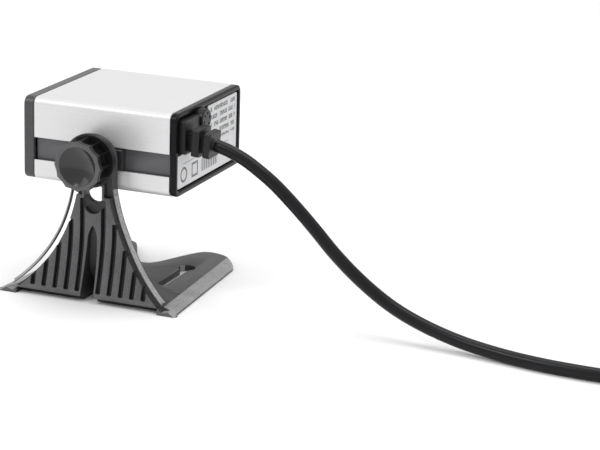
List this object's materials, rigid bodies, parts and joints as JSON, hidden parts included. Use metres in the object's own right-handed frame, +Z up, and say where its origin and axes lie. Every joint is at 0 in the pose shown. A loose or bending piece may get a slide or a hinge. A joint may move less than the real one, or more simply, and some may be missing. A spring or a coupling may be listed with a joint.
{
  "type": "webcam on desk stand",
  "caption": "Box-shaped desk webcam with an aluminium sleeve, a glossy side rail and a scalloped clamp knob, on a ribbed moulded bracket stand, with its coiled lead and plug.",
  "frame": {"origin": "on the desk, under the middle of the stand and camera, the lead left out", "axes": "+X from the lens towards the end where the lead leaves, +Y from the clamp knob towards the camera, +Z up"},
  "size_m": [0.2917, 0.1106, 0.0675],
  "materials": {
    "aluminium": "fine satin brush along the length, clear anodised",
    "gloss_black": "polished black",
    "frame_plastic": "satin dark grey",
    "clear_diffuser": "milky light guide",
    "dark_plastic": "fine texture moulded black",
    "label_grey": "silver grey printed film",
    "steel": "bright plated",
    "soft_black": "soft moulded",
    "lens_glass": "coated glass",
    "chip_black": "epoxy package",
    "board_green": "solder mask",
    "can_aluminium": "plain can",
    "nylon": "natural nylon",
    "lead_sheath": "smooth sheath with a soft sheen",
    "brass": "machined",
    "stand_plastic": "fine grain moulding"
  },
  "bodies": {
    "stand": {"stand_bracket": "stand_plastic", "cord_tube": "lead_sheath", "cord_coil": "lead_sheath", "cord_tail": "lead_sheath", "plug_overmould": "soft_black", "plug_shell": "steel", "plug_tongue": "nylon"},
    "clamp": {"slider_block": "dark_plastic", "clamp_stud": "steel"},
    "camera": {"body_sleeve": "aluminium", "rail_inlay": "gloss_black", "front_frame": "frame_plastic", "front_panel": "gloss_black", "status_light": "clear_diffuser", "rear_frame": "frame_plastic", "rear_panel": "dark_plastic", "rating_label": "label_grey", "microphone_housing": "dark_plastic", "microphone_capsule": "steel", "strain_relief": "soft_black", "lens_holder": "dark_plastic", "infrared_filter": "lens_glass", "image_sensor": "chip_black", "main_board": "board_green", "controller_chip": "chip_black", "memory_chip": "chip_black", "crystal": "steel", "capacitor_a": "can_aluminium", "capacitor_b": "can_aluminium", "lead_connector": "nylon", "inner_lead": "lead_sheath", "board_screw_a": "steel", "board_screw_b": "steel"},
    "washer": {"clamp_washer": "steel"},
    "knob": {"knob": "dark_plastic", "knob_insert": "brass"},
    "focus": {"focus_ring": "dark_plastic"},
    "lens": {"lens_barrel": "dark_plastic", "front_element": "lens_glass", "rear_element": "lens_glass"}
  },
  "joints": [
    {"name": "camera_tilt", "type": "hinge", "parent": "stand", "child": "clamp", "pos_m": [-0.00127, -0.0195, 0.0502], "axis": [0, 1, 0], "range_deg": [-45, 45], "deforming": ["cord_tube"]},
    {"name": "rail_slide", "type": "slide", "parent": "clamp", "child": "camera", "axis": [1, 0, 0], "range_m": [-0.016, 0.016], "deforming": ["cord_tube"]},
    {"name": "washer_shift", "type": "slide", "parent": "clamp", "child": "washer", "axis": [0, -1, 0], "range_m": [0, 0.0012]},
    {"name": "knob_turn", "type": "hinge", "parent": "washer", "child": "knob", "pos_m": [-0.00127, -0.0295, 0.0502], "axis": [0, -1, 0], "range_deg": [0, 540]},
    {"name": "focus_turn", "type": "hinge", "parent": "camera", "child": "focus", "pos_m": [-0.03127, 0.0076, 0.0529], "axis": [1, 0, 0], "range_deg": [-120, 120]},
    {"name": "lens_shift", "type": "slide", "parent": "camera", "child": "lens", "axis": [1, 0, 0], "range_m": [-0.0008, 0.0008]}
  ],
  "couplings": [
    {"joint": "knob_turn", "follows": "washer_shift", "rad_per_m": 7874},
    {"joint": "focus_turn", "follows": "lens_shift", "rad_per_m": 2632}
  ]
}
